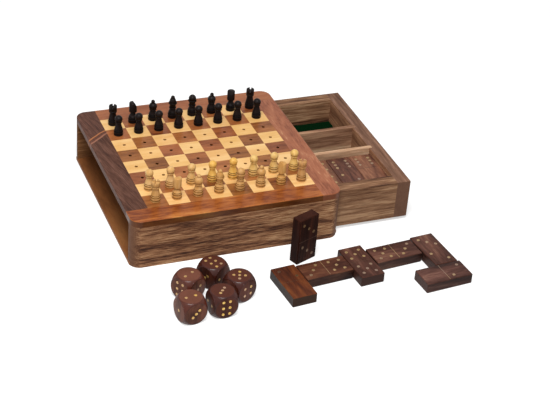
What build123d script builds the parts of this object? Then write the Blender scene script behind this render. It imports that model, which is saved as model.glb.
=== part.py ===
from build123d import *
from math import sqrt
import os

# Travel games compendium: a sleeve case with a pegged chess board for its top, a drawer that
# slides along X, thirty-two pegged chessmen, five dice and a double-six set of dominoes.
# Origin: middle of the case's underside. +Z up, +X the way the drawer opens.

# ---- case ----
case_length = 180.0          # X
case_depth = 180.0           # Y
case_height = 44.0
corner_radius = 9.0          # upright corners, rounded in plan
edge_rounding = 0.8          # outer top edge of the frame
wall_thickness = 10.0
base_thickness = 3.0
base_rebate = 4.0            # how far the base panel runs into each wall
frame_thickness = 5.5        # the four rails round the board
square_side = 18.0
squares_per_side = 8
ply_thickness = 1.5          # panel that the squares are glued to
ply_rebate = 5.0             # how far that panel runs under the rails
peg_hole_radius = 1.4

# ---- drawer ----
drawer_pull = 67.0           # how far it stands out
drawer_side_clearance = 0.5
drawer_floor_clearance = 0.3
drawer_top_clearance = 0.5
drawer_wall = 12.0
drawer_bottom_thickness = 12.0
felt_thickness = 0.5
divider_thickness = 4.0
divider_housing = 2.5        # depth of the slots in the end boards

# ---- dominoes ----
domino_length = 42.0
domino_width = 21.0
domino_thickness = 9.0
domino_chamfer = 0.5
finger_room = 5.25           # by which a side compartment is wider than a domino is long
stack_gap = 0.3              # between dominoes lying side by side in the drawer
dominoes_in_set = 28
dominoes_laid_out = 7        # in front of the case
drawer_layers = 2

# ---- dice ----
die_width = 20.0             # across the flats
die_ball_radius = 13.75      # the ball that rounds the corners off

# ---- where the loose pieces lie, from the middle of the case ----
die_1_x = -64.6
die_1_y = -162.4
die_2_x = -38.8
die_2_y = -161.3
die_3_x = -19.4
die_3_y = -146.0
die_4_x = -33.5
die_4_y = -124.1
die_5_x = -57.1
die_5_y = -134.3
standing_corner_x = 40.5     # near corner of the domino that stands on its end
standing_corner_y = -119.5
standing_turn = 22.0         # degrees
chain_start_x = 23.4         # start of the line that the laid dominoes are measured from
chain_start_y = -132.1
chain_turn = 5.0             # degrees, the chain against the case
domino_1_out = 18.5          # how far each middle lies in front of that line
domino_2_out = 10.5
domino_3_out = 13.0
domino_4_out = 9.5
domino_5_out = 18.0
tight_gap = 0.4              # between two that touch all but
loose_gap = 1.1
hook_back = 9.0              # how far the last domino's middle lies back along the chain

# ---- chessmen ----
peg_radius = 1.3
peg_length = 3.6
foot_radius = 4.0
foot_height = 4.2
shoulder_step = 0.3          # by which the body is slimmer than the foot where it rises from it
collar_overhang = 0.5        # how far the collar stands out from the neck
collar_height = 0.9
pawn_neck_radius = 2.5
pawn_neck_height = 12.0      # board to the underside of the collar
pawn_ball_radius = 3.4
rook_neck_radius = 2.9
rook_neck_height = 12.4
rook_head_radius = 3.5
rook_head_height = 6.2
rook_slot_width = 1.3
rook_slot_depth = 2.0
rook_slot_turn = 65.0        # degrees, the first slot from the case's X
knight_neck_radius = 2.3
knight_neck_height = 9.6
knight_head_radius = 3.4
knight_head_height = 9.8
knight_slope = 64.0          # degrees, the slanting cut across the head
knight_low_side = 4.3        # head height left on the low side
knight_top_chamfer = 0.9
bishop_neck_radius = 2.7
bishop_neck_height = 9.9
bishop_ball_radius = 3.6
bishop_knob_radius = 1.7
royal_neck_radius = 2.7
royal_neck_height = 9.2
royal_waist_radius = 2.4     # just above the collar
royal_waist_height = 3.4     # between the collar and the crown disc
crown_disc_radius = 3.7
crown_disc_height = 1.3
disc_overhang = 0.6          # of the crown disc over the waist's top
king_bell_radius = 3.0
king_bell_swell = 2.75       # its radius at half height
king_bell_height = 4.0
king_knob_radius = 1.8
king_knob_foot = 1.7         # radius where the knob leaves the bell
queen_dome_radius = 3.3
queen_dome_foot = 2.9        # radius where the dome leaves the disc

# ---- sizes that follow ----
wall_height = case_height - frame_thickness
board_side = square_side * squares_per_side
square_thickness = frame_thickness - ply_thickness
inner_depth = case_depth - 2 * wall_thickness

drawer_length = case_length
drawer_width = inner_depth - 2 * drawer_side_clearance
drawer_low = base_thickness + drawer_floor_clearance
drawer_height = wall_height - drawer_top_clearance - drawer_low
drawer_left = drawer_pull - drawer_length / 2
drawer_inner_length = drawer_length - 2 * drawer_wall
drawer_inner_width = drawer_width - 2 * drawer_wall
felt_low = drawer_low + drawer_bottom_thickness
felt_top = felt_low + felt_thickness
side_compartment = domino_length + finger_room
divider_y = drawer_inner_width / 2 - side_compartment - divider_thickness / 2
drawer_columns = int(drawer_inner_length // (domino_width + stack_gap))
spare_dominoes = dominoes_in_set - dominoes_laid_out - drawer_columns * drawer_layers

os.makedirs("parts", exist_ok=True)


def write(name, *solids):
    """One node: its solids, kept separate, in one STEP file."""
    part = Compound(children=list(solids)) if len(solids) > 1 else solids[0]
    export_step(part, f"parts/{name}.step")


def block(x0, x1, y0, y1, z0, z1):
    """A square-edged board between two corners."""
    board = Box(x1 - x0, y1 - y0, z1 - z0, align=(Align.MIN, Align.MIN, Align.MIN))
    return Pos(x0, y0, z0) * board


def case_outline(z0, height):
    """A slab with the case's plan: a rectangle with four rounded corners."""
    plan = RectangleRounded(case_length, case_depth, corner_radius)
    return extrude(Pos(0, 0, z0) * plan, height)


# ---- case: base panel and walls ----

def case_base():
    """Thin panel let into rebates along the foot of both long walls."""
    half = inner_depth / 2 + base_rebate
    return block(-case_length / 2, case_length / 2, -half, half, 0, base_thickness)


def case_wall(side):
    """A long wall, at the front (side -1) or the back (side 1), rebated for the base panel."""
    middle = side * (inner_depth + wall_thickness) / 2
    strip = Pos(0, middle, wall_height / 2) * Box(case_length, wall_thickness, wall_height)
    return (case_outline(0, wall_height) & strip) - case_base()


# ---- case: the board ----

def rail_frame():
    """The four rails in one: rounded outside, square opening, rebated beneath for the ply."""
    slab = case_outline(wall_height, frame_thickness)
    slab = fillet(slab.faces().sort_by(Axis.Z)[-1].edges(), edge_rounding)
    opening = Pos(0, 0, case_height) * Box(board_side, board_side, 2 * frame_thickness)
    return slab - opening - board_panel()


def board_panel():
    """Ply panel under the squares, its edges held in the rails' rebates."""
    side = board_side + 2 * ply_rebate
    return Pos(0, 0, wall_height + ply_thickness / 2) * Box(side, side, ply_thickness)


def rail(x0, x1, y0, y1):
    """One rail of the pinwheel frame: it covers one corner and butts against the next rail."""
    return rail_frame() & block(x0, x1, y0, y1, wall_height, case_height)


def square_centre(column, row):
    """Middle of a square: column 0 at the left, row 0 at the back."""
    middle = (squares_per_side - 1) / 2
    return (column - middle) * square_side, (middle - row) * square_side


def board_squares(parity):
    """Every other square, each its own block with a peg hole bored through it."""
    hole = Cylinder(peg_hole_radius, square_thickness)
    square = Box(square_side, square_side, square_thickness) - hole
    level = case_height - square_thickness / 2
    cells = [(c, r) for r in range(squares_per_side) for c in range(squares_per_side)]
    return [Pos(*square_centre(c, r), level) * square for c, r in cells if (c + r) % 2 == parity]


write("case_base", case_base())
write("case_front_wall", case_wall(-1))
write("case_back_wall", case_wall(1))
half_x, half_y, half_board = case_length / 2, case_depth / 2, board_side / 2
write("rail_front", rail(-half_x, half_board, -half_y, -half_board))
write("rail_right", rail(half_board, half_x, -half_y, half_board))
write("rail_back", rail(-half_board, half_x, half_board, half_y))
write("rail_left", rail(-half_x, -half_board, -half_board, half_y))
write("board_panel", board_panel())
write("light_squares", *board_squares(0))
write("dark_squares", *board_squares(1))


# ---- drawer ----

inner_left = drawer_left + drawer_wall
inner_right = inner_left + drawer_inner_length
inner_half = drawer_inner_width / 2
drawer_top = drawer_low + drawer_height


def divider(side):
    """Thin partition along the drawer, housed in both end boards and standing on the bottom."""
    y = side * divider_y
    half = divider_thickness / 2
    return block(inner_left - divider_housing, inner_right + divider_housing,
                 y - half, y + half, felt_low, drawer_top)


def drawer_end(side):
    """End board across the whole width, with a slot for each divider."""
    x0 = drawer_left if side < 0 else inner_right
    half = drawer_width / 2
    board = block(x0, x0 + drawer_wall, -half, half, drawer_low, drawer_top)
    return board - divider(-1) - divider(1)


def drawer_side(side):
    """Side board, butted between the end boards."""
    y0 = inner_half if side > 0 else -inner_half - drawer_wall
    return block(inner_left, inner_right, y0, y0 + drawer_wall, drawer_low, drawer_top)


def felt(y0, y1):
    """Felt glued to the bottom of one compartment."""
    return block(inner_left, inner_right, y0, y1, felt_low, felt_top)


rear_edge = divider_y + divider_thickness / 2
middle_edge = divider_y - divider_thickness / 2
write("drawer_ends", drawer_end(-1), drawer_end(1))
write("drawer_sides", drawer_side(-1), drawer_side(1))
write("drawer_bottom", block(inner_left, inner_right, -inner_half, inner_half, drawer_low, felt_low))
write("drawer_dividers", divider(-1), divider(1))
write("drawer_felt",
      felt(-inner_half, -rear_edge),
      felt(-middle_edge, middle_edge),
      felt(rear_edge, inner_half))


# ---- dominoes ----

def domino():
    """A domino lying flat along X, its middle at the origin and its underside at z = 0."""
    tile = Pos(0, 0, domino_thickness / 2) * Box(domino_length, domino_width, domino_thickness)
    return chamfer(tile.edges(), domino_chamfer)


def stored_domino(index, y):
    """A domino across a compartment: columns run from the right, layers from the felt up."""
    column, layer = index % drawer_columns, index // drawer_columns
    x = inner_right - (column + 0.5) * (domino_width + stack_gap)
    return Pos(x, y, felt_top + layer * domino_thickness) * Rot(0, 0, 90) * domino()


def spare_domino(index):
    """The rest of the set, in two layers at the left end of the rear compartment."""
    column, layer = index // 2, index % 2
    x = inner_left + (column + 0.5) * (domino_width + stack_gap)
    y = rear_edge + side_compartment / 2
    return Pos(x, y, felt_top + layer * domino_thickness) * Rot(0, 0, 90) * domino()


front_y = -rear_edge - side_compartment / 2
write("drawer_dominoes",
      *[stored_domino(i, front_y) for i in range(drawer_columns * drawer_layers)],
      *[spare_domino(i) for i in range(spare_dominoes)])

# The laid chain: how far along it and in front of its start line each middle lies, and
# whether the domino lies across it. Lengths follow the dominoes that lie between.
long_half = domino_length / 2
wide_half = domino_width / 2
along_1 = 0.0
along_2 = along_1 + wide_half + tight_gap + long_half
along_3 = along_2 + long_half + tight_gap + wide_half
along_4 = along_3 + wide_half + loose_gap + long_half
along_5 = along_4 + long_half + loose_gap + wide_half
domino_6_out = domino_5_out + long_half + tight_gap + wide_half
chain = {
    "domino_1": (along_1, domino_1_out, True),
    "domino_2": (along_2, domino_2_out, False),
    "domino_3": (along_3, domino_3_out, True),
    "domino_4": (along_4, domino_4_out, False),
    "domino_5": (along_5, domino_5_out, True),
    "domino_6": (along_5 - hook_back, domino_6_out, False),
}
start = Pos(chain_start_x, chain_start_y, 0) * Rot(0, 0, chain_turn)
for name, (along, out, across) in chain.items():
    write(name, start * Pos(along, -out, 0) * Rot(0, 0, 90 if across else 0) * domino())

# One domino stands on its end in front of the case.
standing = Pos(wide_half, domino_thickness, long_half) * Rot(90, 0, 0) * Rot(0, 0, 90) * domino()
write("domino_standing",
      Pos(standing_corner_x, standing_corner_y, 0) * Rot(0, 0, standing_turn) * standing)


# ---- dice ----

def die(x, y, turn):
    """A cube whose corners are turned to a ball, resting on a flat."""
    cube = Box(die_width, die_width, die_width)
    return Pos(x, y, die_width / 2) * Rot(0, 0, turn) * (cube & Sphere(die_ball_radius))


write("die_1", die(die_1_x, die_1_y, 9))
write("die_2", die(die_2_x, die_2_y, 3))
write("die_3", die(die_3_x, die_3_y, 25))
write("die_4", die(die_4_x, die_4_y, 32))
write("die_5", die(die_5_x, die_5_y, 30))


# ---- chessmen, turned about their own axis with z = 0 at the board ----

def turned(neck_radius, neck_height, head):
    """Peg, foot, tapered body and neck, with the head's outline (a list of edges) on top."""
    shoulder = foot_radius - shoulder_step
    outline = [
        Line((0, -peg_length), (peg_radius, -peg_length)),
        Line((peg_radius, -peg_length), (peg_radius, 0)),
        Line((peg_radius, 0), (foot_radius, 0)),
        Line((foot_radius, 0), (foot_radius, foot_height)),
        Line((foot_radius, foot_height), (shoulder, foot_height)),
        Line((shoulder, foot_height), (neck_radius, neck_height)),
        *head,
    ]
    outline.append(Line(outline[-1] @ 1, (0, -peg_length)))
    return revolve(make_face(Plane.XZ * Wire(outline)), Axis.Z)


def steps(points):
    """Straight edges through a few corners of an outline."""
    return [Line(a, b) for a, b in zip(points, points[1:])]


def collar(neck_radius, neck_height, above):
    """Thin disc at the neck; the outline goes on at its top, at the radius given."""
    top = neck_height + collar_height
    rim = neck_radius + collar_overhang
    return steps([(neck_radius, neck_height), (rim, neck_height), (rim, top), (above, top)])


def ball(radius, from_radius, z):
    """Arc of a ball that starts at a neck and ends on the axis; also the height of its top."""
    centre = z + sqrt(radius ** 2 - from_radius ** 2)
    arc = ThreePointArc((from_radius, z), (radius, centre), (0, centre + radius))
    return arc, centre + radius


def pawn():
    radius, height = pawn_neck_radius, pawn_neck_height
    arc, _ = ball(pawn_ball_radius, radius, height + collar_height)
    return turned(radius, height, [*collar(radius, height, radius), arc])


def rook():
    """Head with two crossing slots cut down into it."""
    top = rook_neck_height + rook_head_height
    man = turned(rook_neck_radius, rook_neck_height, steps([
        (rook_neck_radius, rook_neck_height), (rook_head_radius, rook_neck_height),
        (rook_head_radius, top), (0, top)]))
    slot = Pos(0, 0, top) * Box(3 * rook_head_radius, rook_slot_width, 2 * rook_slot_depth)
    return man - Rot(0, 0, rook_slot_turn) * slot - Rot(0, 0, rook_slot_turn + 90) * slot


def knight():
    """Tall head with its top edge eased, cut away on a steep slant at one side."""
    top = knight_neck_height + knight_head_height
    man = turned(knight_neck_radius, knight_neck_height, steps([
        (knight_neck_radius, knight_neck_height),
        (knight_head_radius, knight_neck_height + collar_height),
        (knight_head_radius, top - knight_top_chamfer), (knight_head_radius - knight_top_chamfer, top),
        (0, top)]))
    low_side = (-knight_head_radius, 0, knight_neck_height + knight_low_side)
    waste = Box(4 * foot_radius, 4 * foot_radius, 2 * knight_head_height,
                align=(Align.CENTER, Align.CENTER, Align.MIN))
    return man - Pos(*low_side) * Rot(0, -knight_slope, 0) * waste


def bishop():
    """Ball head with a small knob."""
    radius, height = bishop_neck_radius, bishop_neck_height
    neck = height + collar_height
    centre = neck + sqrt(bishop_ball_radius ** 2 - radius ** 2)
    knob_neck = bishop_knob_radius / 2
    rise = centre + sqrt(bishop_ball_radius ** 2 - knob_neck ** 2)
    head = ThreePointArc((radius, neck), (bishop_ball_radius, centre), (knob_neck, rise))
    knob, _ = ball(bishop_knob_radius, knob_neck, rise)
    return turned(radius, height, [*collar(radius, height, radius), head, knob])


def crowned(crown_radius, crown):
    """Queen and king: collar, waist and a wide disc under the crown."""
    radius, height = royal_neck_radius, royal_neck_height
    low = height + collar_height + royal_waist_height
    top = low + crown_disc_height
    under_disc = crown_disc_radius - disc_overhang
    waist = steps([(royal_waist_radius, low - royal_waist_height), (under_disc, low),
                   (crown_disc_radius, low), (crown_disc_radius, top), (crown_radius, top)])
    neck = collar(radius, height, royal_waist_radius)
    return turned(radius, height, [*neck, *waist, *crown(top)])


def queen():
    """Round dome."""
    def dome(z):
        return [ball(queen_dome_radius, queen_dome_foot, z)[0]]
    return crowned(queen_dome_foot, dome)


def king():
    """Swelling bell with a knob."""
    def bell(z):
        shoulder = z + king_bell_height
        side = ThreePointArc((king_bell_radius, z), (king_bell_swell, z + king_bell_height / 2),
                             (king_knob_foot, shoulder))
        knob, _ = ball(king_knob_radius, king_knob_foot, shoulder)
        return [side, knob]
    return crowned(king_bell_radius, bell)


# The knights stand turned, so their slants face different ways (degrees).
turns = {"black_knight_1": 185, "black_knight_2": 38, "white_knight_1": 285, "white_knight_2": 5}
officers = [("rook_1", rook), ("knight_1", knight), ("bishop_1", bishop), ("king", king),
            ("queen", queen), ("bishop_2", bishop), ("knight_2", knight), ("rook_2", rook)]
for colour, officer_row, pawn_row in (("black", 0, 1), ("white", 7, 6)):
    for column, (name, shape) in enumerate(officers):
        man = f"{colour}_{name}"
        place = Pos(*square_centre(column, officer_row), case_height)
        write(man, place * Rot(0, 0, turns.get(man, 0)) * shape())
        place = Pos(*square_centre(column, pawn_row), case_height)
        write(f"{colour}_pawn_{column + 1}", place * pawn())
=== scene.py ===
from math import acos, cos, degrees, pi, radians, sin

import bmesh
import bpy
from mathutils import Matrix, Vector


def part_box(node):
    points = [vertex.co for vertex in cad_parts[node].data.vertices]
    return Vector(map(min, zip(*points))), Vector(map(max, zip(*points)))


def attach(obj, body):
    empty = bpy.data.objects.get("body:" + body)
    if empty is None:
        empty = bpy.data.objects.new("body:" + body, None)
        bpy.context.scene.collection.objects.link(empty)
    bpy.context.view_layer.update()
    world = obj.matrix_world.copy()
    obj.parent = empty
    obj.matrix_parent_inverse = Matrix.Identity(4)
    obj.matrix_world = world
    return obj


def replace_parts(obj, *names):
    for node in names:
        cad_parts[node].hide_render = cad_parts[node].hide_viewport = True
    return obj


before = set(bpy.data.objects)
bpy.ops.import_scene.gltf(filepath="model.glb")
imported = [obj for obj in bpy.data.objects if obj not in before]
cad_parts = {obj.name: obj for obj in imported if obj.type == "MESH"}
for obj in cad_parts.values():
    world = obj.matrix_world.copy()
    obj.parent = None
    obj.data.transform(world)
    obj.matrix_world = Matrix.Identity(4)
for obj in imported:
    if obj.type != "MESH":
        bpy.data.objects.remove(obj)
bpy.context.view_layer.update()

# ---- Case walls ----
# Two sheesham boards, ten millimetres thick, planed and oiled but not lacquered.
# The flat-sawn faces show short dark streaks along the board, fibre between them and open pores.
# Their ends are rounded with the rest of the case and drank more of the oil, so they are darker;
# the grey-lavender cast on them is painted sheen, standing in for the bright surroundings they
# reflect.
MM = 0.001


def linear(code):
    """An sRGB hex colour as linear RGBA."""
    parts = [int(code[i:i + 2], 16) / 255 for i in (0, 2, 4)]
    return [c / 12.92 if c <= 0.04045 else ((c + 0.055) / 1.055) ** 2.4 for c in parts] + [1.0]


def add(tree, kind, sockets=None, stops=None, **settings):
    """One shader node: sockets are linked or set, stops are a ramp's places and hex colours."""
    made = tree.nodes.new("ShaderNode" + kind)
    for key, value in settings.items():
        setattr(made, key, value)
    for key, value in (sockets or {}).items():
        if isinstance(value, bpy.types.NodeSocket):
            tree.links.new(value, made.inputs[key])
        else:
            made.inputs[key].default_value = value
    if stops:
        ramp = made.color_ramp.elements
        while len(ramp) < len(stops):
            ramp.new(1.0)
        for element, (place, code) in zip(ramp, stops):
            element.position, element.color = place, linear(code)
    return made


def start_material(name, roughness, **sockets):
    """A new material's tree and its surface shader, with the numbers that are even all over."""
    material = bpy.data.materials.new(name)
    material.use_nodes = True
    surface = material.node_tree.nodes["Principled BSDF"]
    surface.inputs["Roughness"].default_value = roughness
    for key, value in sockets.items():
        surface.inputs[key.replace("_", " ")].default_value = value
    return material, material.node_tree, surface


def own_plot(tree, place, cell):
    """A random number and colour for each piece, by the plot it lies in, as cell sizes them."""
    plots = add(tree, "Mapping", {"Vector": place, "Scale": [1 / (c * MM) for c in cell]})
    number = add(tree, "VectorMath", {0: plots.outputs[0]}, operation="FLOOR").outputs[0]
    return add(tree, "TexWhiteNoise", {"Vector": number}, noise_dimensions="3D")


figure_scale, fibre_scale, cloud_scale, pore_scale = 0.35, 3.5, 0.16, 7.0    # per ring width
band_sway, fibre_sway, cloud_sway = 0.42, 0.20, 0.18    # how far each strays from its middle


def timber(name, tones, grain="x", turn=0.0, start=(0, 0, 0), ring=5.0, draw=14.0, rings=1.5,
           lines=0.5, fibre=1.2, patch=0.5, pores=0.3, warp=0.8, bite=1.0, ends="ffffff",
           roughness=0.45, gloss=0.15, coat=0.0, cell=None, tone_spread=0.12):
    """Planed hardwood. tones run from the darkest streaks to the pale wood. ring is the width in
    millimetres over which the figure changes and draw how many times longer it runs along the
    grain. Where it is sawn across the grain only the pores show, and there it is multiplied by
    ends: deeper for the oil it drinks, and where ends is greyish that cast is painted sheen,
    standing in for the bright surroundings reflected off those faces. lines, fibre and patch
    weigh the ring lines, the fibre and the broad clouds, and bite is how sharply they part. cell
    is the size of one piece's plot where a node holds many, so that each has its own figure."""
    material, tree, surface = start_material(name, roughness)
    surface.inputs["Specular IOR Level"].default_value = gloss
    surface.inputs["Coat Weight"].default_value = coat
    surface.inputs["Coat Roughness"].default_value = 0.16
    # How far the board is sawn across its grain here.
    spot = add(tree, "TexCoord")
    facing = add(tree, "Mapping", {"Vector": spot.outputs["Normal"], "Rotation": (0, 0, -turn)})
    facing = add(tree, "SeparateXYZ", {0: facing.outputs[0]}).outputs[grain.upper()]
    facing = add(tree, "Math", {0: facing}, operation="ABSOLUTE").outputs[0]
    sawn = add(tree, "MapRange", {"Value": facing, "From Min": 0.15, "From Max": 0.75}).outputs[0]
    evened = add(tree, "Math", {0: sawn, 1: 0.8}, operation="MULTIPLY").outputs[0]
    # The piece's own stretch of the log, drawn out along the grain.
    place = add(tree, "Mapping", {"Vector": spot.outputs["Object"],
                                  "Location": [c * MM for c in start]}).outputs[0]
    if cell:
        own = own_plot(tree, place, cell)
    place = add(tree, "Mapping", {"Vector": place, "Rotation": (0, 0, -turn)}).outputs[0]
    across = 1 / (ring * MM)
    scale = [across / draw if axis == grain else across for axis in "xyz"]
    along = add(tree, "Mapping", {"Vector": place, "Scale": scale}).outputs[0]
    if cell:
        jump = add(tree, "VectorMath", {0: own.outputs["Color"], 1: (37, 23, 41)},
                   operation="MULTIPLY").outputs[0]
        along = add(tree, "VectorMath", {0: along, 1: jump}, operation="ADD").outputs[0]
    # Ring lines, fibre and broad clouds, weighed together into a share of pale wood.
    figure = add(tree, "TexNoise", {"Vector": along, "Scale": figure_scale, "Detail": 2.0,
                                    "Roughness": 0.45, "Distortion": warp}).outputs["Fac"]
    bands = add(tree, "Math", {0: figure, 1: rings * 4}, operation="MULTIPLY").outputs[0]
    bands = add(tree, "Math", {0: bands, 1: 1.0}, operation="PINGPONG").outputs[0]
    fine = add(tree, "TexNoise", {"Vector": along, "Scale": fibre_scale, "Detail": 4.0,
                                  "Roughness": 0.65}).outputs["Fac"]
    broad = add(tree, "TexNoise", {"Vector": along, "Scale": cloud_scale,
                                   "Detail": 1.0}).outputs["Fac"]
    mixed = add(tree, "Math", {0: bands, 1: lines}, operation="MULTIPLY").outputs[0]
    mixed = add(tree, "Math", {0: fine, 1: fibre, 2: mixed}, operation="MULTIPLY_ADD").outputs[0]
    mixed = add(tree, "Math", {0: broad, 1: patch, 2: mixed}, operation="MULTIPLY_ADD").outputs[0]
    middle = (lines + fibre + patch) / 2
    reach = (band_sway * lines + fibre_sway * fibre + cloud_sway * patch) / bite
    share = add(tree, "MapRange", {"Value": mixed, "From Min": middle - reach,
                                   "From Max": middle + reach}).outputs[0]
    share = add(tree, "Mix", {0: evened, 2: share, 3: 0.5}, data_type="FLOAT").outputs[0]
    colour = add(tree, "ValToRGB", {"Fac": share}, stops=tones).outputs["Color"]
    # Sawn faces are multiplied by ends: deeper with the oil, and a greyish ends paints in sheen
    # from the bright surroundings.
    soak_and_painted_sheen = add(tree, "ValToRGB", {"Fac": sawn}, stops=[(0.0, "ffffff"), (1.0, ends)]).outputs[0]
    colour = add(tree, "Mix", {"Factor": 1.0, 6: colour, 7: soak_and_painted_sheen}, data_type="RGBA",
                 blend_type="MULTIPLY").outputs[2]
    # Open pores, and then each piece's own tone.
    ticks = add(tree, "TexNoise", {"Vector": along, "Scale": pore_scale,
                                   "Detail": 1.0}).outputs["Fac"]
    ticks = add(tree, "MapRange", {"Value": ticks, "From Min": 0.60, "From Max": 0.72,
                                   "To Min": 1.0, "To Max": 1 - pores}).outputs[0]
    colour = add(tree, "Mix", {"Factor": 1.0, 6: colour, 7: ticks}, data_type="RGBA",
                 blend_type="MULTIPLY").outputs[2]
    if cell:
        value = add(tree, "MapRange", {"Value": own.outputs["Value"], "To Min": 1 - tone_spread,
                                       "To Max": 1 + tone_spread}).outputs[0]
        hue = add(tree, "SeparateColor", {0: own.outputs["Color"]}).outputs["Green"]
        hue = add(tree, "MapRange", {"Value": hue, "To Min": 0.5 - 0.09 * tone_spread,
                                     "To Max": 0.5 + 0.04 * tone_spread}).outputs[0]
        colour = add(tree, "HueSaturation", {"Color": colour, "Value": value,
                                             "Hue": hue}).outputs[0]
    tree.links.new(colour, surface.inputs["Base Color"])
    dull = add(tree, "MapRange", {"Value": fine, "To Min": roughness + 0.10,
                                  "To Max": roughness - 0.08}).outputs[0]
    tree.links.new(dull, surface.inputs["Roughness"])
    dents = add(tree, "Math", {0: ticks, 1: fine}, operation="ADD").outputs[0]
    bump = add(tree, "Bump", {"Height": dents, "Strength": 0.35, "Distance": 0.06 * MM})
    tree.links.new(bump.outputs[0], surface.inputs["Normal"])
    return material


def dress(material, *names):
    """Gives CAD nodes their material."""
    for name in names:
        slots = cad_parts[name].data.materials
        slots.clear()
        slots.append(material)


wall_tones = [(0.0, "361e13"), (0.3, "68422c"), (0.55, "916546"), (0.8, "b38862"),
              (1.0, "c9a179")]
dress(timber("oiled_sheesham_wall", wall_tones, ring=2.6, draw=17, rings=1.2, lines=0.35,
             fibre=1.7, patch=0.5, warp=0.5, bite=1.7, pores=0.45, ends="c5c4cc",
             roughness=0.6), "case_front_wall")
back_wall_tones = [(0.0, "3e2414"), (0.3, "684226"), (0.55, "825836"), (0.8, "966c48"),
                   (1.0, "aa825c")]
dress(timber("plainer_sheesham_wall", back_wall_tones, start=(0, 30, 0), ring=4.5, draw=14,
             rings=1.2, lines=0.35, fibre=1.4, warp=0.5, bite=1.1, pores=0.3, ends="c5c4cc",
             roughness=0.6), "case_back_wall")

# ---- Case base panel and the ply under the board ----
# The base is a thin plain panel let into the walls' feet, seen inside the open left end.
# The ply that carries the squares is seen only from inside, as the ceiling of the bay.
base_tones = [(0.0, "58331a"), (0.45, "87532d"), (1.0, "a87242")]
dress(timber("plain_base_panel", base_tones, grain="y", ring=16, draw=4, rings=0.8, fibre=0.8,
             roughness=0.6, pores=0.2), "case_base")
ply_tones = [(0.0, "7d5f3f"), (0.5, "a58560"), (1.0, "bf9f78")]
dress(timber("birch_ply", ply_tones, grain="y", ring=9, draw=8, rings=1.5, roughness=0.6),
      "board_panel")

# ---- Frame rails ----
# Four sheesham rails of different boards, butted in a pinwheel round the squares, sanded level
# with them and lacquered. The left one is dark heartwood with two thin pale streaks of sapwood
# across it, the front one is orange brown, and the right and back ones are redder.
board_top = 44.0
shade_low, shade_high = 0.7, 0.2    # how far under the top face the shade is full, and ends


def bare_wood(material):
    """A finished material's tree, its colour socket and the wood's colour that feeds it."""
    tree = material.node_tree
    base = tree.nodes["Principled BSDF"].inputs["Base Color"]
    return tree, base, base.links[0].from_socket


def paint_edge_shade(material, tint, top_face=board_top):
    """Painted shade: the faces below the top face, the sides and the insides of holes, are
    multiplied towards tint as shade from the light above would darken them.
    """
    tree, base, top = bare_wood(material)
    height = add(tree, "SeparateXYZ", {0: add(tree, "TexCoord").outputs["Object"]}).outputs["Z"]
    edge = add(tree, "MapRange", {"Value": height, "From Min": (top_face - shade_low) * MM,
                                  "From Max": (top_face - shade_high) * MM}).outputs[0]
    edge = add(tree, "ValToRGB", {"Fac": edge}, stops=[(0.0, tint), (1.0, "ffffff")]).outputs[0]
    shaded = add(tree, "Mix", {"Factor": 1.0, 6: top, 7: edge}, data_type="RGBA",
                 blend_type="MULTIPLY").outputs[2]
    tree.links.new(shaded, base)
    return material


# On every rail the sides below the top face are darkened as painted shade.
front_tones = [(0.0, "6b3010"), (0.3, "8f4c1e"), (0.6, "a8622c"), (1.0, "c48442")]
front_rail = timber("lacquered_orange_rail", front_tones, ring=7, draw=5, rings=1.2, lines=0.4,
                    fibre=0.9, patch=1.2, pores=0.25, warp=1.4, bite=1.7, roughness=0.38,
                    coat=0.12)
dress(paint_edge_shade(front_rail, "959595"), "rail_front")
back_tones = [(0.0, "70391d"), (0.4, "925432"), (1.0, "ae7048")]
back_rail = timber("lacquered_red_rail", back_tones, start=(0, 40, 0), ring=8, draw=8,
                   rings=1.3, lines=0.4, fibre=0.9, patch=0.8, roughness=0.4, coat=0.1)
dress(paint_edge_shade(back_rail, "cbcbcb"), "rail_back")
right_tones = [(0.0, "6b3620"), (0.4, "8f5236"), (0.75, "a16344"), (1.0, "b88460")]
right_rail = timber("lacquered_pink_rail", right_tones, grain="y", start=(13, 0, 0), ring=4,
                    draw=6, rings=1.2, lines=0.35, fibre=1.2, patch=0.4, bite=1.2,
                    roughness=0.4, coat=0.1)
dress(paint_edge_shade(right_rail, "cbcbcb"), "rail_right")

left_tones = [(0.0, "311f1a"), (0.35, "503328"), (0.75, "6d4b3e"), (1.0, "8a6653")]
left_rail = timber("lacquered_dark_rail", left_tones, grain="y", turn=radians(12),
                   start=(30, 7, 0), ring=2.6, draw=12, rings=1.0, lines=0.35, fibre=1.2,
                   patch=0.5, bite=1.15, roughness=0.45, gloss=0.06)
# The streaks cross it on a slant, and the wood beyond them is younger and paler.
streak_start = (-90.0, 37.0)    # where the line they are measured from meets the outer edge
streak_slant, streak_low, streak_high = -0.72, -2.0, 18.0
streak_sway, sways = 5.0, 60.0    # how far they wander, and how often in a metre
younger_from = 0.45
younger_gain = (1.22, 1.22, 1.27, 1)
tree, base, heart = bare_wood(left_rail)
place = add(tree, "TexCoord").outputs["Object"]
sway = add(tree, "TexNoise", {"Vector": place, "Scale": sways, "Detail": 1.0}).outputs["Fac"]
across_rail = add(tree, "Mapping", {"Vector": place, "Location": (
    -streak_start[0] * MM, -streak_start[1] * MM, 0)}).outputs[0]
parts = add(tree, "SeparateXYZ", {0: across_rail})
lean = add(tree, "Math", {0: parts.outputs["X"], 1: streak_slant, 2: parts.outputs["Y"]},
           operation="MULTIPLY_ADD").outputs[0]
lean = add(tree, "Math", {0: sway, 1: streak_sway * MM, 2: lean},
           operation="MULTIPLY_ADD").outputs[0]
reach = add(tree, "MapRange", {"Value": lean, "From Min": streak_low * MM,
                               "From Max": streak_high * MM}).outputs[0]
beyond = add(tree, "Math", {0: reach, 1: younger_from}, operation="GREATER_THAN").outputs[0]
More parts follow.
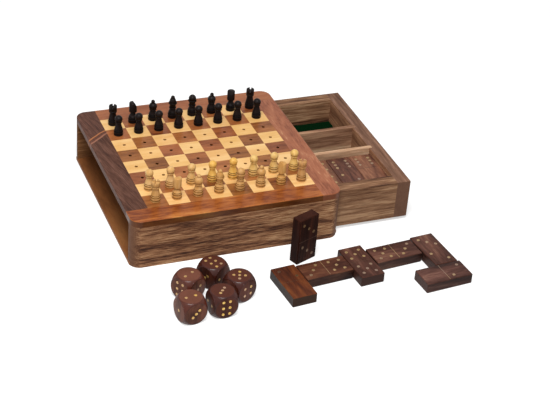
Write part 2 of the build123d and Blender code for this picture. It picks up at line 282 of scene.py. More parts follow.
younger = add(tree, "Mix", {"Factor": 1.0, 6: heart, 7: younger_gain}, data_type="RGBA",
              blend_type="MULTIPLY").outputs[2]
heart = add(tree, "Mix", {"Factor": beyond, 6: heart, 7: younger}, data_type="RGBA").outputs[2]
sap = add(tree, "ValToRGB", {"Fac": reach},
          stops=[(0.15, "a4705a"), (0.19, "9c6852"), (0.24, "6c4032"), (0.37, "6c4032"),
                 (0.42, "ac6c40"), (0.47, "a06644")]).outputs[0]
share = add(tree, "ValToRGB", {"Fac": reach},
            stops=[(0.10, "000000"), (0.14, "e0e0e0"), (0.19, "e0e0e0"), (0.24, "a0a0a0"),
                   (0.38, "a0a0a0"), (0.42, "ffffff"), (0.46, "ffffff"), (0.49, "000000")])
streaked = add(tree, "Mix", {"Factor": share.outputs[0], 6: heart, 7: sap},
               data_type="RGBA").outputs[2]
tree.links.new(streaked, base)
dress(left_rail, "rail_left")

# ---- Board squares ----
# Eighteen-millimetre blocks of boxwood and sheesham set grain-wise on the ply, each with a peg
# hole, sanded flush and lacquered together. No two blocks have quite the same tone. The insides
# of the holes are darkened as painted shade.
square_side = 18.0
plot = (square_side, square_side, 100.0)
light_tones = [(0.0, "d6a25c"), (0.5, "e5b878"), (1.0, "efcb8e")]
light_wood = timber("lacquered_boxwood", light_tones, ring=7, draw=8, rings=1.0, fibre=0.8,
                    pores=0.06, roughness=0.36, cell=plot, tone_spread=0.04, coat=0.1)
dress(paint_edge_shade(light_wood, "9c7c58"), "light_squares")
dark_tones = [(0.0, "5c2d12"), (0.35, "875026"), (0.7, "9e6232"), (1.0, "b87c48")]
dark_wood = timber("lacquered_sheesham", dark_tones, ring=6, draw=6, rings=1.2, lines=0.4,
                   fibre=1.0, patch=0.8, pores=0.35, bite=1.2, roughness=0.36, cell=plot,
                   tone_spread=0.11, coat=0.1)
dress(paint_edge_shade(dark_wood, "584838"), "dark_squares")

# ---- Drawer ----
# A box of twelve-millimetre sheesham: sides butted between the two end boards, a thick bottom,
# and two thin dividers housed in the ends. Planed and oiled; the ends are of a darker board.
# Their inner faces are painted paler, as painted light where the lamps reach little into the
# compartments.
side_tones = [(0.0, "3d2419"), (0.3, "694731"), (0.65, "8a6549"), (1.0, "ae8867")]
dress(timber("oiled_sheesham_side", side_tones, start=(11, 5, 3), ring=5, draw=14, rings=1.3,
             lines=0.5, fibre=1.4, bite=1.9, pores=0.4, roughness=0.6), "drawer_sides")
end_tones = [(0.0, "3c241b"), (0.4, "604232"), (0.75, "785643"), (1.0, "926d58")]
end_wood = timber("oiled_sheesham_end", end_tones, grain="y", start=(7, 0, 9), ring=6, draw=12,
                  rings=1.3, lines=0.4, fibre=1.2, bite=1.5, roughness=0.6)
low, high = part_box("drawer_felt")    # as long and as wide as the drawer is inside
past_face = Vector((0.1, 0.1, 0))
# Inside the drawer the end boards are brightened: painted light, where the lamps reach little
# into the compartments.
painted_light_gain = (1.9, 1.85, 1.6, 1)
tree, base, oiled = bare_wood(end_wood)
place = add(tree, "TexCoord").outputs["Object"]
aside = add(tree, "VectorMath", {0: place, 1: (low + high) / 2}, operation="SUBTRACT").outputs[0]
aside = add(tree, "VectorMath", {0: aside}, operation="ABSOLUTE").outputs[0]
aside = add(tree, "VectorMath", {0: aside, 1: (high - low) / 2 + past_face * MM},
            operation="SUBTRACT").outputs[0]
aside = add(tree, "SeparateXYZ", {0: aside})
outside = add(tree, "Math", {0: aside.outputs["X"], 1: aside.outputs["Y"]},
              operation="MAXIMUM").outputs[0]
within = add(tree, "Math", {0: outside, 1: 0.0}, operation="LESS_THAN").outputs[0]
painted_lit_end = add(tree, "Mix", {"Factor": 1.0, 6: oiled, 7: painted_light_gain}, data_type="RGBA",
          blend_type="MULTIPLY").outputs[2]
tone = add(tree, "Mix", {"Factor": within, 6: oiled, 7: painted_lit_end}, data_type="RGBA").outputs[2]
tree.links.new(tone, base)
dress(end_wood, "drawer_ends")
floor_tones = [(0.0, "553424"), (0.5, "76502f"), (1.0, "906844")]
dress(timber("oiled_drawer_bottom", floor_tones, start=(3, 9, 0), ring=8, draw=10, rings=1.4,
             roughness=0.6), "drawer_bottom")
divider_tones = [(0.0, "6f4c38"), (0.4, "9e755a"), (0.8, "bf9877"), (1.0, "d8b392")]
dress(timber("pale_divider_strip", divider_tones, start=(1, 2, 8), ring=5, draw=12, rings=1.3,
             fibre=1.0, bite=1.5, roughness=0.6), "drawer_dividers")

# ---- Felt ----
# Thin green baize glued to the bottom of each compartment. Its short pile scatters light,
# so it has no gloss and a mottled tone. The tufts are drawn a millimetre wide, to show.
tufts = 900.0    # in a metre
felt, tree, surface = start_material("green_baize", 0.95, Specular_IOR_Level=0.0)
place = add(tree, "TexCoord").outputs["Object"]
pile = add(tree, "TexNoise", {"Vector": place, "Scale": tufts, "Detail": 4.0}).outputs["Fac"]
green = add(tree, "ValToRGB", {"Fac": pile}, stops=[(0.3, "051509"), (0.7, "082611")]).outputs[0]
tree.links.new(green, surface.inputs["Base Color"])
fuzz = add(tree, "Bump", {"Height": pile, "Strength": 0.6, "Distance": 0.2 * MM}).outputs[0]
tree.links.new(fuzz, surface.inputs["Normal"])
dress(felt, "drawer_felt")

# ---- Dominoes ----
# Flat tiles of dark rosewood with chamfered edges. The pips are brass pins driven in and
# filed almost flush, and a brass wire inlaid across the middle parts the two halves.
domino_tones = [(0.0, "22110c"), (0.35, "3f2219"), (0.7, "5a372c"), (1.0, "75503f")]
tile_length, tile_width, tile_top = 42.0, 21.0, 9.0
pip_radius = 1.65
pip_pitch = (4.7, 5.6)    # from a half's middle to its outer pips, along and across the tile
pip_rise, pip_root = 0.06, 0.3
wire_width, wire_height, wire_sunk = 0.4, 0.24, 0.1
wire_short = 1.6          # by which it is shorter than the tile is wide
scratches, dull_patches = 1100.0, 55.0    # in a metre of brass


def brass(name, new, worn):
    """Filed brass, its scratches drawn a little coarser than they are. new and worn are the
    tones of pins that kept their gold and of those that have gone dull and pinkish."""
    material, tree, surface = start_material(name, 0.38, Metallic=0.75)
    place = add(tree, "TexCoord").outputs["Object"]
    rub = add(tree, "TexNoise", {"Vector": place, "Scale": scratches,
                                 "Detail": 2.0}).outputs["Fac"]
    tone = add(tree, "ValToRGB", {"Fac": rub}, stops=new).outputs[0]
    dimmed = add(tree, "ValToRGB", {"Fac": rub}, stops=worn).outputs[0]
    age = add(tree, "TexNoise", {"Vector": place, "Scale": dull_patches,
                                 "Detail": 1.0}).outputs["Fac"]
    age = add(tree, "MapRange", {"Value": age, "From Min": 0.42, "From Max": 0.66}).outputs[0]
    tone = add(tree, "Mix", {"Factor": age, 6: tone, 7: dimmed}, data_type="RGBA").outputs[2]
    tree.links.new(tone, surface.inputs["Base Color"])
    dull = add(tree, "MapRange", {"Value": rub, "To Min": 0.5, "To Max": 0.3}).outputs[0]
    tree.links.new(dull, surface.inputs["Roughness"])
    bump = add(tree, "Bump", {"Height": rub, "Strength": 0.3, "Distance": 0.03 * MM}).outputs[0]
    tree.links.new(bump, surface.inputs["Normal"])
    return material


brass_pin = brass("filed_brass_pin", [(0.3, "b58a3e"), (0.55, "d6ae5c"), (0.8, "ecd08c")],
                  [(0.3, "96705a"), (0.6, "b8967c"), (0.8, "ccb09a")])
worn_pin = brass("worn_brass_pin", [(0.3, "8e7044"), (0.55, "aa8c60"), (0.8, "bea684")],
                 [(0.3, "785c4e"), (0.6, "947a6a"), (0.8, "a89284")])
tarnished_pin = brass("tarnished_brass_pin", [(0.3, "5e4628"), (0.55, "7c5e3a"), (0.8, "94764e")],
                      [(0.3, "4c3426"), (0.6, "644a38"), (0.8, "7c6250")])
# The darker brass for the wire on most tiles: painted shade, where the wire shows no reflection
# from the way it lies.
shaded_wire_brass = brass("shaded_brass_wire", [(0.3, "4a2e1c"), (0.7, "664630")],
                   [(0.3, "3c241a"), (0.7, "523628")])


def pip_spots(count, along, across):
    """Places of a half's or a die face's pips, in millimetres from its middle."""
    spots = {1: [(0, 0)], 2: [(-1, -1), (1, 1)], 4: [(-1, -1), (1, 1), (-1, 1), (1, -1)]}
    spots[3] = spots[2] + spots[1]
    spots[5] = spots[4] + spots[1]
    spots[6] = spots[4] + [(0, -1), (0, 1)]
    return [(u * along, v * across) for u, v in spots.get(count, [])]


def drive_pin(mesh, place, radius=pip_radius):
    """One pin in a mesh: a low cone's stump that stands a hair proud of the wood."""
    turned = place @ Matrix.Translation((0, 0, (pip_rise - pip_root) / 2 * MM))
    bmesh.ops.create_cone(mesh, cap_ends=True, segments=12, radius1=radius * MM,
                          radius2=0.8 * radius * MM, depth=(pip_root + pip_rise) * MM,
                          matrix=turned)


def finish_piece(name, mesh, body, *materials, sharp=35):
    """Turns a bmesh into the finished object that rides on a body."""
    bmesh.ops.recalc_face_normals(mesh, faces=mesh.faces)
    if mesh.calc_volume(signed=True) < 0:
        bmesh.ops.reverse_faces(mesh, faces=mesh.faces)
    data = bpy.data.meshes.new(name)
    mesh.to_mesh(data)
    mesh.free()
    for face in data.polygons:
        face.use_smooth = True
    data.set_sharp_from_angle(angle=radians(sharp))
    for material in materials:
        data.materials.append(material)
    piece = bpy.data.objects.new(name, data)
    bpy.context.scene.collection.objects.link(piece)
    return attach(piece, body)


def mark_tile(mesh, place, near, far, dull=True):
    """Pins and wire on a tile: place has its long way along X, near is the -X half's count, and
    dull gives the wire the darker brass of painted shade.
    """
    for side, count in ((-1, near), (1, far)):
        for u, v in pip_spots(count, *pip_pitch):
            half = Matrix.Translation((side * tile_length / 4 * MM + u * MM, v * MM, 0))
            drive_pin(mesh, place @ half)
    wire = place @ Matrix.Translation((0, 0, -wire_sunk * MM)) @ Matrix.Diagonal(
        (wire_width * MM, (tile_width - wire_short) * MM, wire_height * MM, 1))
    corners = bmesh.ops.create_cube(mesh, size=1.0, matrix=wire)["verts"]
    for face in {f for corner in corners for f in corner.link_faces}:
        face.material_index = int(dull)


def tile_place(name, turn):
    """The middle of a laid tile's top, its long way along X before the turn."""
    low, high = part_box(name)
    middle = (low + high) / 2
    return Matrix.Translation((middle.x, middle.y, high.z)) @ Matrix.Rotation(turn, 4, "Z")


chain_turn = radians(5)
across_turn = chain_turn + pi / 2
# Each laid tile's turn, the pips of its halves, and where in the log its wood starts.
laid = {"domino_1": (across_turn, 0, 2, 0.0), "domino_2": (chain_turn, 3, 5, 0.4),
        "domino_3": (across_turn, 5, 5, 0.9), "domino_4": (chain_turn, 5, 3, 0.2),
        "domino_5": (across_turn, 2, 3, 0.7), "domino_6": (chain_turn, 0, 2, 0.5)}
own_woods = {
    "domino_1": [(0.0, "38190e"), (0.35, "552814"), (0.7, "6d3a1c"), (1.0, "834a22")],
    "domino_2": [(0.0, "1e0d08"), (0.35, "3b1c12"), (0.7, "542f20"), (1.0, "6d4530")],
    "domino_6": [(0.0, "26140f"), (0.35, "472921"), (0.7, "644137"), (1.0, "825e4e")]}
# The tiles' sides below the top face are darkened as painted shade; a tile's own tint here also
# greys them.
edge_shade_tints = {"domino_1": "8eafcb"}
bright_wires = ("domino_2", "domino_4", "domino_6")
for name, (turn, near, far, offset) in laid.items():
    tones = own_woods.get(name, domino_tones)
    wood = timber("rosewood_" + name, tones, turn=turn, start=(50 * offset, 90 * offset, 0),
                  ring=6, draw=5, rings=1.2, fibre=1.0, patch=1.4, bite=1.4, roughness=0.45,
                  gloss=0.12)
    dress(paint_edge_shade(wood, edge_shade_tints.get(name, "bcc2c8"), tile_top), name)
    marks = bmesh.new()
    mark_tile(marks, tile_place(name, turn), near, far, dull=name not in bright_wires)
    pins = tarnished_pin if name == "domino_1" else worn_pin
    finish_piece(name + "_marks", marks, name, pins, shaded_wire_brass)

# The standing tile: its marked face looks to the front, its long way upright.
standing_turn = radians(22)
near_corner = Vector((40.5, -119.5, 0)) * MM    # of its foot
along_foot = Vector((cos(standing_turn), sin(standing_turn), 0))
face_out = Vector((sin(standing_turn), -cos(standing_turn), 0))
middle = near_corner + along_foot * tile_width / 2 * MM + Vector((0, 0, tile_length / 2 * MM))
face = Matrix((Vector((0, 0, 1)), along_foot, -face_out)).transposed().to_4x4()
face = Matrix.Translation(middle) @ face @ Matrix.Rotation(pi, 4, "X")
standing_tones = [(0.0, "150806"), (0.4, "2c140d"), (0.75, "422116"), (1.0, "583020")]
dress(timber("rosewood_standing", standing_tones, grain="z", start=(3, 8, 0), ring=5, draw=9,
             rings=1.2, fibre=1.0, bite=1.2, roughness=0.45, gloss=0.03), "domino_standing")
marks = bmesh.new()
mark_tile(marks, face, 3, 3)
finish_piece("domino_standing_marks", marks, "domino_standing", tarnished_pin,
                     shaded_wire_brass)

# The tiles kept in the drawer lie side by side across it, each on its own plot of the pattern.
# Only the top layer is marked. The front row's pips are given from the drawer's outer end
# inwards and the rear row's from its inner end outwards.
tile_pitch = 21.3
stored_tones = [(0.0, "3c2019"), (0.35, "643c2e"), (0.7, "855440"), (1.0, "a87458")]
dress(timber("rosewood_stored", stored_tones, grain="y", start=(-187.6, 0, 0), ring=8,
             draw=6, rings=1.2, lines=0.25, fibre=1.2, patch=0.3, bite=1.1, roughness=0.5,
             cell=(tile_pitch, 200, 100), tone_spread=0.16), "drawer_dominoes")
low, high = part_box("drawer_dominoes")
half_tile = tile_length / 2 * MM
front_row = [(0, 6), (2, 6), (4, 4), (1, 6), (0, 5), (3, 4), (1, 1)]
rear_row = [(2, 4), (1, 3), (0, 0)]
marks = bmesh.new()
for row, end, way, y in ((front_row, high.x, -1, low.y + half_tile),
                         (rear_row, low.x, 1, high.y - half_tile)):
    for column, (near, far) in enumerate(row):
        x = end + way * (column * tile_pitch + tile_width / 2) * MM
        place = Matrix.Translation((x, y, high.z)) @ Matrix.Rotation(pi / 2, 4, "Z")
        mark_tile(marks, place, near, far)
finish_piece("drawer_domino_marks", marks, "drawer", worn_pin, shaded_wire_brass)

# ---- Dice ----
# Cubes of dark rosewood turned to a ball until only a round flat is left of each face, their
# rims eased in polishing, with brass pins for the pips. Opposite faces add up to seven.
pale_die = [(0.0, "331a13"), (0.35, "5a3426"), (0.7, "734536"), (1.0, "936452")]
dark_die = [(0.0, "260f09"), (0.35, "432015"), (0.7, "562c20"), (1.0, "724236")]
die_ball = 13.75          # radius that the cube was turned to
die_half = 10.0           # from its middle to a flat
die_rim, rim_angle = 0.35, radians(20)
die_pin = 1.45
die_pitch = {2: (0.0, 4.0), 3: (2.7, 2.7), 6: (5.6, 2.7)}    # by count, from a flat's middle
usual_pitch = (3.2, 3.2)                                     # to its outer pips
polish_and_shade_start, polish_and_shade_full = 0.5, 0.2    # how far inside the ball the polish and the painted shade start, and are full


def merged_copy(name):
    """A CAD node's mesh as a bmesh whose loose triangles are joined."""
    mesh = bmesh.new()
    mesh.from_mesh(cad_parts[name].data)
    bmesh.ops.remove_doubles(mesh, verts=mesh.verts, dist=0.001 * MM)
    return mesh


def polish_and_shade_ball(material, middle):
    """The turned part was polished on the lathe and has a coat. Its colour is also multiplied
    down, a painted reflection: the ball is made to look as if it reflected duller surroundings
    than the sanded flats do.
    """
    tree, base, tone = bare_wood(material)
    reach = add(tree, "VectorMath", {0: add(tree, "TexCoord").outputs["Object"], 1: middle},
                operation="DISTANCE").outputs["Value"]
    ball = add(tree, "MapRange", {"Value": reach, "From Min": (die_ball - polish_and_shade_start) * MM,
                                  "From Max": (die_ball - polish_and_shade_full) * MM}).outputs[0]
    darker = add(tree, "ValToRGB", {"Fac": ball}, stops=[(0.0, "ffffff"), (1.0, "c59f92")])
    tone = add(tree, "Mix", {"Factor": 1.0, 6: tone, 7: darker.outputs[0]}, data_type="RGBA",
               blend_type="MULTIPLY").outputs[2]
    tree.links.new(tone, base)
    shine = add(tree, "MapRange", {"Value": ball, "To Min": 0.0, "To Max": 0.3}).outputs[0]
    tree.links.new(shine, base.node.inputs["Coat Weight"])


# Each die's turn in degrees and the pips on its top, -X and -Y faces.
cast = {"die_1": (9, 2, 1, 3), "die_2": (3, 3, 2, 6), "die_3": (25, 5, 1, 4),
        "die_4": (32, 6, 3, 2), "die_5": (30, 2, 6, 3)}
for name, (turn, on_top, on_left, on_front) in cast.items():
    low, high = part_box(name)
    middle = (low + high) / 2
    upright = Matrix.Translation(middle) @ Matrix.Rotation(radians(turn), 4, "Z")
    tones = pale_die if name in ("die_1", "die_5") else dark_die
    wood = timber("rosewood_" + name, tones, grain="z", start=(17 * turn, 5, 0), ring=6,
                  draw=4, rings=1.2, fibre=0.9, roughness=0.45, gloss=0.12)
    polish_and_shade_ball(wood, middle)
    ball = merged_copy(name)
    rims = [e for e in ball.edges if len(e.link_faces) == 2 and e.calc_face_angle() > rim_angle]
    bmesh.ops.bevel(ball, geom=rims, offset=die_rim * MM, offset_type="OFFSET", segments=2,
                    profile=0.5, affect="EDGES", material=-1)
    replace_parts(finish_piece(name + "_turned", ball, name, wood), name)
    pins = bmesh.new()
    faces = [(on_top, Matrix.Identity(4)), (7 - on_top, Matrix.Rotation(pi, 4, "X")),
             (on_front, Matrix.Rotation(pi / 2, 4, "X")),
             (7 - on_front, Matrix.Rotation(-pi / 2, 4, "X")),
             (on_left, Matrix.Rotation(-pi / 2, 4, "Y") @ Matrix.Rotation(pi / 2, 4, "Z")),
             (7 - on_left, Matrix.Rotation(pi / 2, 4, "Y") @ Matrix.Rotation(pi / 2, 4, "Z"))]
    for count, way in faces:
        for v, u in pip_spots(count, *die_pitch.get(count, usual_pitch)):
            drive_pin(pins, upright @ way @ Matrix.Translation((u * MM, v * MM, die_half * MM)),
                      die_pin)
    finish_piece(name + "_pins", pins, name, brass_pin)

# ---- Chessmen ----
# Small boxwood men turned on a lathe, one side left pale and the other ebonised. Rings scored
# into foot and body are scorched with a wire, the flats next to the collar are darkened with the
# same material, and a peg under the foot holds the man in its hole. The pale officers come from a
# browner batch.
peg_radius, peg_length = 1.3, 3.6
foot_radius, foot_height = 4.0, 4.2
body_radius = 3.7
collar_overhang, collar_height = 0.5, 0.9
score_depth = 0.35
scores = (1.5, 5.7)    # heights of the rings on foot and body
pinch = 0.3            # by which the body is hollowed under the collar
hollow = ((0.25, 0.62), (0.5, 0.34), (0.75, 0.12))    # how far up, and the flare left there
man_sizes = {  # neck radius and height, then the head's radius and other sizes
    "pawn": (2.5, 12.0, 3.4), "rook": (2.9, 12.4, 3.5, 6.2), "knight": (2.3, 9.6, 3.4, 9.8),
    "bishop": (2.7, 9.9, 3.6, 1.7), "queen": (2.7, 9.2, 3.3, 2.9), "king": (2.7, 9.2, 3.0, 4.0)}
rook_turn = radians(65)
rook_ring = 1.3        # height of the ring over the neck
slot_half, slot_depth = 0.65, 2.0
knight_slope, knight_low_side = radians(64), 4.3
knight_chamfer = 0.9
waist_radius, waist_height = 2.4, 3.4
disc_radius, disc_height, disc_overhang = 3.7, 1.3, 0.6
bell_middle, bell_shoulder, bell_top = 2.75, 2.3, 1.7    # the king's bell, radii going up
king_knob = 1.8
knob_neck_share = 0.75    # of the radius of the bishop's knob
drawn_fibre = (420, 420, 90)    # fibres in a metre across and along the man
lathe_rings = 3500.0            # in a metre


def turned_wood(name, tones, roughness, gloss, own_tones=None):
    """Turned and polished boxwood with fine lathe rings round it, its fibre drawn a little
    coarser than it is. own_tones is the range that a batch of men is spread over, one each."""
    material, tree, surface = start_material(name, roughness)
    surface.inputs["Specular IOR Level"].default_value = gloss
    place = add(tree, "TexCoord").outputs["Object"]
    drawn = add(tree, "Mapping", {"Vector": place, "Scale": drawn_fibre}).outputs[0]
    fibre = add(tree, "TexNoise", {"Vector": drawn, "Scale": 1.0, "Detail": 3.0}).outputs["Fac"]
    tone = add(tree, "ValToRGB", {"Fac": fibre}, stops=tones).outputs["Color"]
    if own_tones:
        pick = own_plot(tree, place, plot).outputs["Value"]
        own = add(tree, "ValToRGB", {"Fac": pick}, stops=own_tones).outputs[0]
        tone = add(tree, "Mix", {"Factor": 1.0, 6: tone, 7: own}, data_type="RGBA",
                   blend_type="MULTIPLY").outputs[2]
    tree.links.new(tone, surface.inputs["Base Color"])
    height = add(tree, "SeparateXYZ", {0: place}).outputs["Z"]
    turns = add(tree, "Math", {0: height, 1: lathe_rings}, operation="MULTIPLY").outputs[0]
    rings = add(tree, "TexNoise", {"W": turns, "Scale": 1.0},
                noise_dimensions="1D").outputs["Fac"]
    bump = add(tree, "Bump", {"Height": rings, "Strength": 0.25, "Distance": 0.05 * MM})
    tree.links.new(bump.outputs[0], surface.inputs["Normal"])
    return material


pale = [(0.3, "ecdcb8"), (0.7, "ffffff")]
spread = [(0.0, "e2b45e"), (0.35, "e4be72"), (0.7, "dcba7a"), (1.0, "d6ae78")]
boxwood = turned_wood("turned_boxwood", pale, 0.45, 0.2, spread)
browner = [(0.0, "c69658"), (0.35, "c79b64"), (0.7, "be9060"), (1.0, "b88a62")]
brown_boxwood = turned_wood("browner_boxwood", pale, 0.45, 0.2, browner)
scored_pale = turned_wood("scorched_ring", [(0.3, "6a441c"), (0.7, "8a6030")], 0.7, 0.1)
ebony_tones = [(0.3, "0d0605"), (0.7, "170d0b")]
ebonised = turned_wood("ebonised_boxwood", ebony_tones, 0.42, 0.12)
scored_dark = turned_wood("scorched_ring_ebonised", [(0.3, "030303"), (0.7, "050505")], 0.6, 0.05)


def rounding(radius, middle, first, last):
    """Nine points of a ball's outline between two angles up from its equator."""
    angles = [radians(first + (last - first) * i / 8) for i in range(9)]
    return [(radius * cos(a), middle + radius * sin(a)) for a in angles]


def scored(radius, height):
    """A groove round a piece of an outline."""
    return [(radius, height - score_depth), (radius - score_depth, height),
            (radius, height + score_depth)]


def body_outline(neck, height):
    """Peg, foot and the hollowed body up to the neck, as (radius, height) pairs."""
    waist = neck - pinch
    return [(0, -peg_length), (peg_radius - 0.2, -peg_length), (peg_radius, -peg_length + 0.2),
            (peg_radius, 0), (foot_radius - 0.3, 0), (foot_radius, 0.3),
            *scored(foot_radius, scores[0]), (foot_radius, foot_height - 0.5),
            (body_radius - 0.1, foot_height - 0.1), (body_radius, foot_height + 0.3),
            *scored(body_radius - 0.15, scores[1]),
            *[(waist + (body_radius - waist) * flare, (1 - up) * scores[1] + up * height)
              for up, flare in hollow], (waist, height - 0.1)]


def collar_outline(neck, height):
    """The rounded disc at the neck."""
    top, rim = height + collar_height, neck + collar_overhang
    return [(neck - pinch, height), (rim - 0.2, height), (rim, height + 0.25), (rim, top - 0.25),
            (rim - 0.2, top)]


def ball_outline(radius, foot, height, last=90):
    """A ball that starts at a neck of radius foot and goes round to the angle last."""
    middle = height + (radius ** 2 - foot ** 2) ** 0.5
    return rounding(radius, middle, -degrees(acos(foot / radius)), last)


def head_outline(kind):
    """What stands on the collar, bottom to top."""
    neck, height, *own = man_sizes[kind]
    top = height + collar_height
    if kind == "pawn":
        return ball_outline(own[0], neck, top)
    if kind == "bishop":
        knob_neck = own[1] * knob_neck_share
        ball = ball_outline(own[0], neck, top, degrees(acos(knob_neck / own[0])))
        return ball + ball_outline(own[1], knob_neck, ball[-1][1])[1:]
    disc = top + waist_height
    crown = disc + disc_height
    waist = [(waist_radius, top), (disc_radius - disc_overhang, disc),
             (disc_radius - 0.2, disc), (disc_radius, disc + 0.25),
             (disc_radius, crown - 0.25), (disc_radius - 0.2, crown)]
    if kind == "queen":
        return waist + ball_outline(own[0], own[1], crown)
    bell_radius, bell_height = own
    shoulder = crown + bell_height
    bell = [(bell_radius, crown), (bell_radius, crown + 0.7),
            (bell_middle, crown + bell_height / 2), (bell_shoulder, shoulder - 0.7),
            (bell_top, shoulder)]
    return waist + bell + ball_outline(king_knob, bell_top, shoulder)[1:]


def turn_on_lathe(outline):
    """A closed solid of revolution about Z from an outline in millimetres."""
    mesh = bmesh.new()
    last = None
    for radius, height in outline:
        point = mesh.verts.new((radius * MM, 0, height * MM))
        if last:
            mesh.edges.new((last, point))
        last = point
    bmesh.ops.spin(mesh, geom=mesh.verts[:] + mesh.edges[:], cent=(0, 0, 0), axis=(0, 0, 1),
                   angle=2 * pi, steps=32, use_merge=True)
    bmesh.ops.remove_doubles(mesh, verts=mesh.verts, dist=0.001 * MM)
    bmesh.ops.recalc_face_normals(mesh, faces=mesh.faces)
    return mesh


def saw(mesh, point, normal):
    """Saws off what lies on the normal's side of a plane and closes the cut."""
    cut = bmesh.ops.bisect_plane(mesh, geom=mesh.verts[:] + mesh.edges[:] + mesh.faces[:],
                                 plane_co=[c * MM for c in point], plane_no=normal,
                                 clear_outer=True, dist=1e-8)["geom_cut"]
    bmesh.ops.contextual_create(mesh, geom=[g for g in cut if isinstance(g, bmesh.types.BMEdge)])


def make_man(kind):
    """One man of a kind as a bmesh about the Z axis, z = 0 at the board."""
    neck, height, radius, *own = man_sizes[kind]
    if kind == "rook":
        tall = own[0]
        slot_floor = height + tall - slot_depth
        mesh = turn_on_lathe(body_outline(neck, height) + [
            (neck - pinch, height), (radius - 0.2, height), (radius, height + 0.3),
            *scored(radius, height + rook_ring), (radius, slot_floor), (0, slot_floor)])
        for quarter in range(4):
            merlon = turn_on_lathe([(0, slot_floor), (radius, slot_floor),
                                    (radius, height + tall - 0.3),
                                    (radius - 0.3, height + tall), (0, height + tall)])
            saw(merlon, (slot_half, 0, 0), (-1, 0, 0))
            saw(merlon, (0, slot_half, 0), (0, -1, 0))
            merlon.transform(Matrix.Rotation(rook_turn + quarter * pi / 2, 4, "Z"))
            piece = bpy.data.meshes.new("merlon")
            merlon.to_mesh(piece)
            merlon.free()
            mesh.from_mesh(piece)
            bpy.data.meshes.remove(piece)
    elif kind == "knight":
        tall = own[0]
        mesh = turn_on_lathe(body_outline(neck, height) + [
            (neck, height), (radius, height + collar_height),
            (radius, height + tall - knight_chamfer),
            (radius - 0.3, height + tall - 0.3),
            (radius - knight_chamfer, height + tall), (0, height + tall)])
        saw(mesh, (-radius, 0, height + knight_low_side),
            (-sin(knight_slope), 0, cos(knight_slope)))
    else:
        mesh = turn_on_lathe(body_outline(neck, height) + collar_outline(neck, height)
                             + head_outline(kind))
    # The wire scorches the scored rings and the foot's shoulder, and the flats next to a collar
    # take the same darker material.
    for face in mesh.faces:
        middle = face.calc_center_median() / MM
        out = Vector((middle.x, middle.y)).length
        in_score = any(abs(middle.z - height) < score_depth - 0.01 for height in scores)
        in_shoulder = -0.45 < middle.z - foot_height < 0.2
        by_collar = kind not in ("rook", "knight") and abs(face.normal.z) > 0.9
        if out > 3.0 and (in_score or in_shoulder):
            face.material_index = 1
        if out > 1.8 and middle.z > foot_height + 1 and by_collar:
            face.material_index = 1
    return mesh


# Degrees that each knight's cut is turned by.
knight_turns = {"black_knight_1": 185, "black_knight_2": 38, "white_knight_1": 285,
                "white_knight_2": 5}
for name in [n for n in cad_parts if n.startswith(("white_", "black_"))]:
    side, kind = name.split("_")[:2]
    low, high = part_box(name)
    mesh = make_man(kind)
    mesh.transform(Matrix.Translation(((low.x + high.x) / 2, (low.y + high.y) / 2,
                                       board_top * MM))
                   @ Matrix.Rotation(radians(knight_turns.get(name, 0)), 4, "Z"))
    woods = (boxwood if kind == "pawn" else brown_boxwood, scored_pale)
    if side == "black":
        woods = (ebonised, scored_dark)
    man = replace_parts(finish_piece(name + "_turned", mesh, name, *woods, sharp=50), name)

# ---- Floor, light and camera ----
# A pale seamless sheet under a large soft box above the front, an even light all round, and a
# weak lamp low on the left that reaches into the case. The sheet's own glow keeps it white to
# the eye, and is weaker near the part, so that the shadow shows.
sheet_half = 4.0
near_glow, far_glow = 0.55, 1.0    # half a metre and 1.6 metres from the part
tent_light = 0.32


def looked_at(tree):
    """One where a ray comes from the camera, straight or off a gloss, and zero elsewhere."""
    rays = add(tree, "LightPath")
    return add(tree, "Math", {0: rays.outputs["Is Camera Ray"],
                              1: rays.outputs["Is Glossy Ray"]}, operation="MAXIMUM").outputs[0]


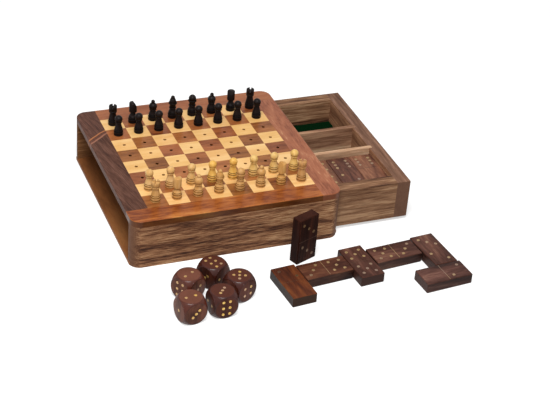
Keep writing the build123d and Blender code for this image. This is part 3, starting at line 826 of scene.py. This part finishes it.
paper, tree, surface = start_material("white_paper", 0.9, Specular_IOR_Level=0.0)
place = add(tree, "TexCoord").outputs["Object"]
tooth = add(tree, "TexNoise", {"Vector": place, "Scale": 400.0}).outputs["Fac"]
tone = add(tree, "ValToRGB", {"Fac": tooth}, stops=[(0.0, "c4c4c4"), (1.0, "cacaca")]).outputs[0]
tree.links.new(tone, surface.inputs["Base Color"])
away = add(tree, "VectorMath", {0: place}, operation="LENGTH").outputs["Value"]
paler = add(tree, "MapRange", {"Value": away, "From Min": 0.5, "From Max": 1.6,
                               "To Min": near_glow, "To Max": far_glow}).outputs[0]
glow = add(tree, "Math", {0: looked_at(tree), 1: paler}, operation="MULTIPLY").outputs[0]
surface.inputs["Emission Color"].default_value = linear("ffffff")
tree.links.new(glow, surface.inputs["Emission Strength"])
sheet = bmesh.new()
bmesh.ops.create_grid(sheet, x_segments=1, y_segments=1, size=sheet_half)
data = bpy.data.meshes.new("floor")
sheet.to_mesh(data)
sheet.free()
data.materials.append(paper)
floor = bpy.data.objects.new("floor", data)
bpy.context.scene.collection.objects.link(floor)

world = bpy.data.worlds.new("light_tent")
bpy.context.scene.world = world
world.use_nodes = True
tree = world.node_tree
strength = add(tree, "MapRange", {"Value": looked_at(tree), "To Min": tent_light,
                                  "To Max": 1.0}).outputs[0]
tree.links.new(strength, tree.nodes["Background"].inputs["Strength"])
tree.nodes["Background"].inputs["Color"].default_value = linear("ffffff")


def lamp(name, place, target, size, watts):
    """A square soft box aimed at a point."""
    light = bpy.data.lights.new(name, "AREA")
    light.shape, light.size, light.energy = "SQUARE", size, watts
    box = bpy.data.objects.new(name, light)
    bpy.context.scene.collection.objects.link(box)
    box.location = place
    box.rotation_euler = (Vector(target) - Vector(place)).to_track_quat("-Z", "Y").to_euler()


lamp("key_above_front", (-0.23, -0.55, 1.15), (0.03, -0.04, 0.02), 0.6, 17.0)
lamp("fill_low_left", (-0.9, -0.15, 0.2), (0.0, 0.0, 0.02), 0.5, 1.0)

azimuth, elevation, roll = radians(-23.44), radians(32.83), radians(4.76)
distance, lens_mm = 1.24454, 97.57
target = Vector((42.507 * MM, -60.733 * MM, 20.0 * MM))
back = Vector((sin(azimuth) * cos(elevation), -cos(azimuth) * cos(elevation), sin(elevation)))
right = (-back).cross(Vector((0, 0, 1))).normalized()
up = back.cross(right)
camera = bpy.data.objects.new("camera", bpy.data.cameras.new("camera"))
bpy.context.scene.collection.objects.link(camera)
camera.data.lens = lens_mm
camera.data.sensor_width = 36.0
side = cos(roll) * right + sin(roll) * up
top = cos(roll) * up - sin(roll) * right
turned = Matrix((side, top, back)).transposed().to_4x4()
camera.matrix_world = Matrix.Translation(target + back * distance) @ turned
bpy.context.scene.camera = camera
bpy.context.scene.view_settings.view_transform = "Standard"
